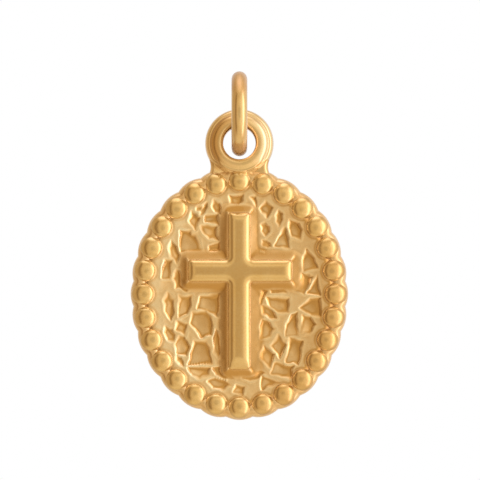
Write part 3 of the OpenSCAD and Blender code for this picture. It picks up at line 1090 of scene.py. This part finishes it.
def ring_tree():
    """Geometry tree: round wire bent into a closed ring, standing edge-on to the front."""
    tree, given, end = new_tree("Jump Ring", "GeometryNodeTree", {
        "Geometry": ("Geometry",),
        "Middle Radius": ("Float", 0.002),
        "Wire Radius": ("Float", 0.00046),
        "Middle Z": ("Float", 0.0),
        "Material": ("Material",),
    }, {"Geometry": "Geometry"})
    path, wire = circle(tree, 160, given["Middle Radius"]), circle(tree, 48, given["Wire Radius"])
    ring = add_node(tree, "GeometryNodeCurveToMesh", {"Curve": path, "Profile Curve": wire})
    lift = combine(tree, Z=given["Middle Z"])
    stood = transform(tree, ring, Translation=lift, Rotation=(0, math.pi / 2, 0))

    # Painted shade at the bottom of the ring and towards its top
    position = add_node(tree, "GeometryNodeInputPosition")
    rise = maths(tree, "SUBTRACT", separate(tree, position)["Z"], given["Middle Z"])
    low = between(tree, rise, -0.00174, -0.00192, 0.0, 0.5, "SMOOTHSTEP")
    high = between(tree, rise, 0.0009, 0.0015, 0.0, 0.5, "SMOOTHSTEP")
    return end_tree(tree, end, stood, maths(tree, "ADD", low, high), given["Material"])


class CHARM_OT_jump_ring(bpy.types.Operator):
    """Jump ring of round wire"""

    bl_idname = "charm.jump_ring"
    bl_label = "Jump Ring"

    def execute(self, context):
        size = in_mm(context)
        material = gold(context, "Ring Gold")
        mesh = mesh_from_tree("ring_wire", ring_tree(), {
            "Middle Radius": (size.ring_width - size.wire_width) / 2 * MM,
            "Wire Radius": size.wire_width / 2 * MM,
            "Middle Z": size.ring_z * MM,
            "Material": material,
        })
        face_outwards(mesh, merge=True)
        place_piece("ring_wire", mesh, material, "ring", ["jump_ring"])
        return {"FINISHED"}


# Studio

# Brightness of the studio round the charm at eye level, before the shade of the camera straight ahead
# turn to the right of the camera in degrees, brightness
AROUND = [
    (-180, 0.95),
    (-135, 0.84),
    (-112, 0.70),
    (-90, 0.62),
    (-72, 0.58),
    (-62, 0.42),
    (-56, 0.32),
    (-49, 0.36),
    (-42, 0.58),
    (-36, 0.68),
    (-24, 0.76),
    (-12, 0.80),
    (0, 0.86),
    (14, 0.94),
    (30, 1.00),
    (45, 1.15),
    (54, 1.55),
    (63, 2.30),
    (72, 1.60),
    (82, 1.15),
    (92, 1.00),
    (115, 1.08),
    (145, 1.00),
    (180, 0.95),
]

# Brightness that the top of a colour ramp stands for
BRIGHTEST = 4

# Brightness of the studio above and below eye level
# height above eye level in degrees, brightness
RISE = [
    (-90, 0.88),
    (-50, 0.80),
    (-20, 0.62),
    (20, 0.55),
    (44, 0.55),
    (56, 0.78),
    (66, 1.15),
    (76, 1.60),
    (90, 1.70),
]


def fill_ramp(ramp, stops):
    """Stops of a colour ramp from places and brightnesses, warmer where the light is low."""
    elements = ramp.color_ramp.elements
    ramp.color_ramp.interpolation = "EASE"
    while len(elements) > 1:
        elements.remove(elements[-1])
    for number, (place, bright) in enumerate(stops):
        stop = elements[0] if number == 0 else elements.new(place)
        stop.position = place
        warm = min(max((1.1 - bright) / 0.6, 0), 1) ** 2
        cool = min(max((bright - 0.9) / 0.5, 0), 1)
        level = bright / BRIGHTEST
        stop.color = (level, level * (1 - 0.20 * warm), level * (1.02 - 0.40 * warm + 0.35 * cool), 1)


def studio_light(strength):
    """White behind the charm, and soft boxes round it that only light it."""
    world = bpy.data.worlds.new("Studio Light")
    bpy.context.scene.world = world
    tree = clean_tree(world)
    way = separate(tree, add_node(tree, "ShaderNodeTexCoord").outputs["Generated"])
    front = maths(tree, "MULTIPLY", way["Y"], -1.0)
    turn = maths(tree, "ARCTAN2", way["X"], front)
    around = add_node(tree, "ShaderNodeValToRGB", {"Fac": between(tree, turn, -math.pi, math.pi)})
    fill_ramp(around, [((degrees + 180) / 360, bright) for degrees, bright in AROUND])
    rise = add_node(tree, "ShaderNodeValToRGB", {"Fac": between(tree, way["Z"], -1.0, 1.0)})
    fill_ramp(rise, [((math.sin(math.radians(degrees)) + 1) / 2, bright) for degrees, bright in RISE])
    away = between(tree, maths(tree, "ABSOLUTE", way["Z"]), 0.55, 0.93, ease="SMOOTHSTEP")
    light = mix_colour(tree, away, around, rise)

    # Shade of the camera straight ahead, and dimmer light from behind
    ahead = between(tree, front, 0.90, 0.998, 1.0, 0.755, "SMOOTHSTEP")
    behind = between(tree, front, -0.35, 0.25, 0.84, 1.0, "SMOOTHSTEP")
    level = maths(tree, "MULTIPLY", maths(tree, "MULTIPLY", ahead, behind), BRIGHTEST * strength)
    boxes = add_node(tree, "ShaderNodeBackground", {"Color": light, "Strength": level})
    white = add_node(tree, "ShaderNodeBackground", {"Color": (1, 1, 1, 1), "Strength": 1.0})
    seen = add_node(tree, "ShaderNodeLightPath").outputs["Is Camera Ray"]
    both = add_node(tree, "ShaderNodeMixShader", {0: seen, 1: boxes, 2: white})
    add_node(tree, "ShaderNodeOutputWorld", {"Surface": both})


def soft_box(name, place, target, width, energy):
    """Square soft box at a place, turned to a target, that the camera doesn't see."""
    data = bpy.data.lights.new(name, "AREA")
    data.size = width
    data.energy = energy
    light = bpy.data.objects.new(name, data)
    light.location = place
    way = np.array(target) - np.array(place)
    tilt, turn = math.acos(-way[2] / np.linalg.norm(way)), math.atan2(way[1], way[0])
    light.rotation_euler = (tilt, 0, turn - math.pi / 2)
    light.visible_camera = False
    bpy.context.scene.collection.objects.link(light)


class CHARM_OT_studio(bpy.types.Operator):
    """Plain pale floor, soft light and the camera"""

    bl_idname = "charm.studio"
    bl_label = "Studio"

    def execute(self, context):
        studio = context.scene.charm_studio
        middle = studio.middle_height
        mesh = bpy.data.meshes.new("studio_floor")
        turns = np.arange(FLOOR_SIDES) * 2 * math.pi / FLOOR_SIDES
        rim = [(FLOOR_RADIUS * math.cos(t), FLOOR_RADIUS * math.sin(t), studio.floor_height) for t in turns]
        mesh.from_pydata(rim, [], [tuple(range(FLOOR_SIDES))])
        floor = bpy.data.objects.new("studio_floor", mesh)
        context.scene.collection.objects.link(floor)
        floor.visible_glossy = False
        paper = bpy.data.materials.new("Floor Paper")
        paper.use_nodes = True
        shader = paper.node_tree.nodes["Principled BSDF"]
        shader.inputs["Base Color"].default_value = (*context.scene.charm_colours.floor, 1)
        shader.inputs["Roughness"].default_value = 0.9
        mesh.materials.append(paper)
        studio_light(studio.light_strength)
        soft_box("key_box", place=(0.11, -0.055, 0.01), target=(0, 0, middle), width=0.09,
                 energy=0.006 * studio.light_strength)
        data = bpy.data.cameras.new("camera")
        data.lens = studio.lens
        data.sensor_width = SENSOR
        data.clip_start, data.clip_end = 0.01, 10
        camera = bpy.data.objects.new("camera", data)
        across, medal_y = CAMERA_AIM
        camera.location = (across, medal_y - studio.frame_width * studio.lens / SENSOR, middle)
        camera.rotation_euler = (math.pi / 2, 0, 0)
        context.scene.collection.objects.link(camera)
        context.scene.camera = camera
        context.scene.view_settings.view_transform = "Standard"
        context.scene.view_settings.look = "None"
        return {"FINISHED"}


class CHARM_PT_pieces(bpy.types.Panel):
    """Pieces of the charm, in the 3D view's sidebar"""

    bl_idname = "CHARM_PT_pieces"
    bl_label = "Cross Charm"
    bl_space_type = "VIEW_3D"
    bl_region_type = "UI"
    bl_category = "Charm"

    def draw(self, context):
        for piece in PIECES:
            self.layout.operator(piece.bl_idname)
        for name, _ in GROUPS:
            group = getattr(context.scene, name)
            box = self.layout.box()
            for setting in group.__annotations__:
                box.prop(group, setting)


PIECES = (CHARM_OT_field, CHARM_OT_cross, CHARM_OT_flange, CHARM_OT_beads, CHARM_OT_eyelet, CHARM_OT_neck,
          CHARM_OT_jump_ring, CHARM_OT_studio)
GROUPS = (("charm_sizes", CharmSizes), ("charm_colours", CharmColours), ("charm_studio", CharmStudio))


def register():
    """Registers the settings, the pieces and the panel."""
    for name, group in GROUPS:
        bpy.utils.register_class(group)
        setattr(bpy.types.Scene, name, bpy.props.PointerProperty(type=group))
    for item in (*PIECES, CHARM_PT_pieces):
        bpy.utils.register_class(item)


def unregister():
    """Takes away what register added, in the other order."""
    for item in (CHARM_PT_pieces, *reversed(PIECES)):
        bpy.utils.unregister_class(item)
    for name, group in reversed(GROUPS):
        delattr(bpy.types.Scene, name)
        bpy.utils.unregister_class(group)


def main():
    """Makes every piece and the studio."""
    register()
    bpy.ops.charm.field()
    bpy.ops.charm.cross()
    bpy.ops.charm.flange()
    bpy.ops.charm.beads()
    bpy.ops.charm.eyelet()
    bpy.ops.charm.neck()
    bpy.ops.charm.jump_ring()
    bpy.ops.charm.studio()


if __name__ == "__main__":
    main()
